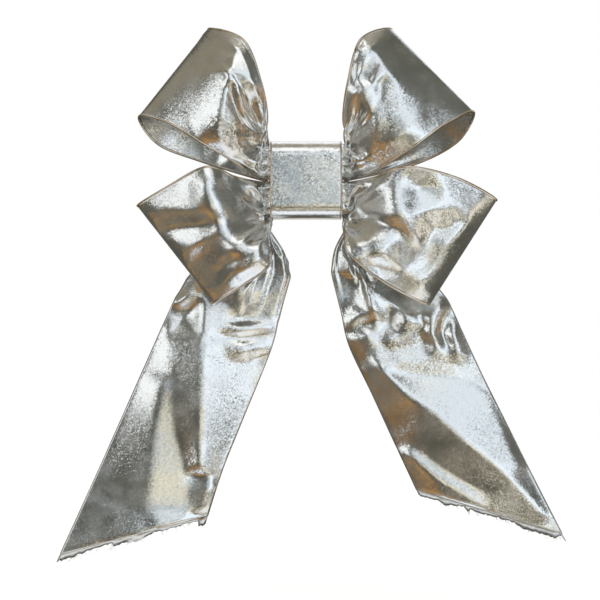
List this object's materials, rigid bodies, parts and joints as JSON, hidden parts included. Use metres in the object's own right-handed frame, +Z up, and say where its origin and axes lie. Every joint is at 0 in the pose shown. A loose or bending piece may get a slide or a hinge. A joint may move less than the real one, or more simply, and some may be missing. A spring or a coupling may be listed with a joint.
{
  "type": "pre-made gift bow",
  "caption": "Ready-made metallic ribbon bow with fluffed wired loops, hanging tails and a centre band, fastened to a gift or wreath with a twist tie.",
  "frame": {"origin": "on the flat back of the centre band, at the bow's middle", "axes": "+X to the viewer's right, +Z up, -Y out of the bow's front; +Y is the way the back rests"},
  "size_m": [0.431, 0.0566, 0.4496],
  "materials": {
    "silver_lame": "metallic silver, fine sparkle",
    "hem_wire": "satin",
    "nylon": "satin",
    "hot_melt_glue": "glossy",
    "twist_tie": "satin"
  },
  "bodies": {
    "knot": {"centre_band": "silver_lame", "band_glue": "hot_melt_glue", "cinch_tie": "nylon", "upper_ribbon_waist": "silver_lame", "lower_ribbon_waist": "silver_lame", "tail_ribbon_waist": "silver_lame", "twist_tie_core": "twist_tie"},
    "left_tie_leg": {"left_twist_tie_leg": "twist_tie"},
    "right_tie_leg": {"right_twist_tie_leg": "twist_tie"},
    "upper_left_loop": {"upper_left_loop": "silver_lame", "upper_left_lower_hem_wire": "hem_wire", "upper_left_upper_hem_wire": "hem_wire"},
    "upper_right_loop": {"upper_right_loop": "silver_lame", "upper_right_lower_hem_wire": "hem_wire", "upper_right_upper_hem_wire": "hem_wire"},
    "lower_left_loop": {"lower_left_loop": "silver_lame", "lower_left_upper_hem_wire": "hem_wire", "lower_left_lower_hem_wire": "hem_wire"},
    "lower_right_loop": {"lower_right_loop": "silver_lame", "lower_right_upper_hem_wire": "hem_wire", "lower_right_lower_hem_wire": "hem_wire"},
    "left_tail": {"left_tail": "silver_lame", "left_tail_outer_hem_wire": "hem_wire", "left_tail_inner_hem_wire": "hem_wire"},
    "right_tail": {"right_tail": "silver_lame", "right_tail_outer_hem_wire": "hem_wire", "right_tail_inner_hem_wire": "hem_wire"}
  },
  "joints": [
    {"name": "upper_left_loop_swing", "type": "hinge", "parent": "knot", "child": "upper_left_loop", "pos_m": [-0.0395, -0.021, 0], "axis": [0, 0, 1], "range_deg": [-10, 30]},
    {"name": "upper_right_loop_swing", "type": "hinge", "parent": "knot", "child": "upper_right_loop", "pos_m": [0.0395, -0.021, 0], "axis": [0, 0, -1], "range_deg": [-10, 30]},
    {"name": "lower_left_loop_swing", "type": "hinge", "parent": "knot", "child": "lower_left_loop", "pos_m": [-0.0395, -0.021, 0], "axis": [0, 0, 1], "range_deg": [0, 25]},
    {"name": "lower_right_loop_swing", "type": "hinge", "parent": "knot", "child": "lower_right_loop", "pos_m": [0.0395, -0.021, 0], "axis": [0, 0, -1], "range_deg": [0, 25]},
    {"name": "left_tail_swing", "type": "hinge", "parent": "knot", "child": "left_tail", "pos_m": [-0.044, -0.0096, -0.016], "axis": [0, 1, 0], "range_deg": [-8, 12]},
    {"name": "right_tail_swing", "type": "hinge", "parent": "knot", "child": "right_tail", "pos_m": [0.044, -0.0096, -0.016], "axis": [0, -1, 0], "range_deg": [-8, 12]},
    {"name": "left_tie_leg_bend", "type": "hinge", "parent": "knot", "child": "left_tie_leg", "pos_m": [-0.034, -0.0056, 0], "axis": [0.5, 0, -0.866], "range_deg": [0, 100]},
    {"name": "right_tie_leg_bend", "type": "hinge", "parent": "knot", "child": "right_tie_leg", "pos_m": [0.034, -0.0056, 0], "axis": [0.5, 0, 0.866], "range_deg": [0, 100]}
  ]
}
